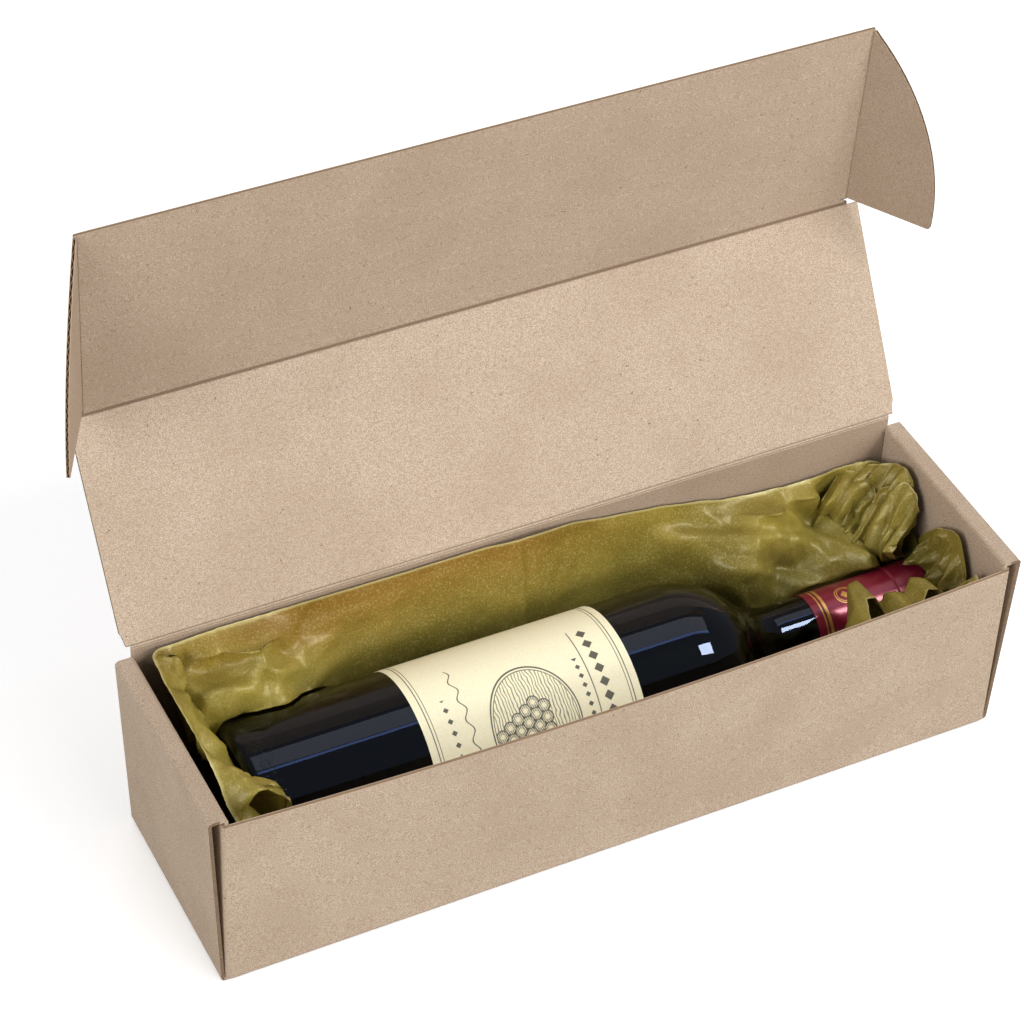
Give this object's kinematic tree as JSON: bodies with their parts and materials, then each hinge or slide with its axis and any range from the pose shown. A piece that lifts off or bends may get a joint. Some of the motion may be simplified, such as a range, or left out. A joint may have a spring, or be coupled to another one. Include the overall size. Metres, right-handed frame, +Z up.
{
  "type": "wine gift box",
  "caption": "Open corrugated board gift box with hinged lid, tuck flap and ears, holding a wine bottle on crumpled tissue.",
  "frame": {"origin": "centre of the base's underside, on the floor", "axes": "+X along the box towards the bottle's neck, +Y from the front wall to the hinged back wall, +Z up"},
  "size_m": [0.3902, 0.1544, 0.2725],
  "materials": {
    "kraft_board": "matt brown kraft liner with fine fibres",
    "bottle_glass": "dark green bottle glass, glossy",
    "wine": "dark red wine",
    "cork": "natural cork",
    "capsule": "satin burgundy with gold bands",
    "label_paper": "matt cream paper with plain borders",
    "gold_tissue": "metallic olive gold tissue"
  },
  "bodies": {
    "tray": {"tray": "kraft_board", "bottle": "bottle_glass", "wine": "wine", "cork": "cork", "capsule": "capsule", "label": "label_paper", "tissue": "gold_tissue"},
    "lid": {"lid": "kraft_board"},
    "tuck_flap": {"tuck_flap": "kraft_board"},
    "right_ear": {"right_ear": "kraft_board"},
    "left_ear": {"left_ear": "kraft_board"}
  },
  "joints": [
    {"name": "lid_hinge", "type": "hinge", "parent": "tray", "child": "lid", "pos_m": [0, 0.04895, 0.098], "axis": [1, 0, 0], "range_deg": [-58.6, 121.4], "deforming": ["right_ear", "left_ear"]},
    {"name": "flap_fold", "type": "hinge", "parent": "lid", "child": "tuck_flap", "pos_m": [0, 0.09899, 0.17998], "axis": [1, 0, 0], "range_deg": [-34.8, 55.2]},
    {"name": "right_ear_fold", "type": "hinge", "parent": "tuck_flap", "child": "right_ear", "pos_m": [0.17375, 0.09899, 0.17998], "axis": [0, 0.0593, -0.9982], "range_deg": [-55, 35]},
    {"name": "left_ear_fold", "type": "hinge", "parent": "tuck_flap", "child": "left_ear", "pos_m": [-0.17375, 0.09899, 0.17998], "axis": [0, -0.0593, 0.9982], "range_deg": [-62, 28]}
  ]
}
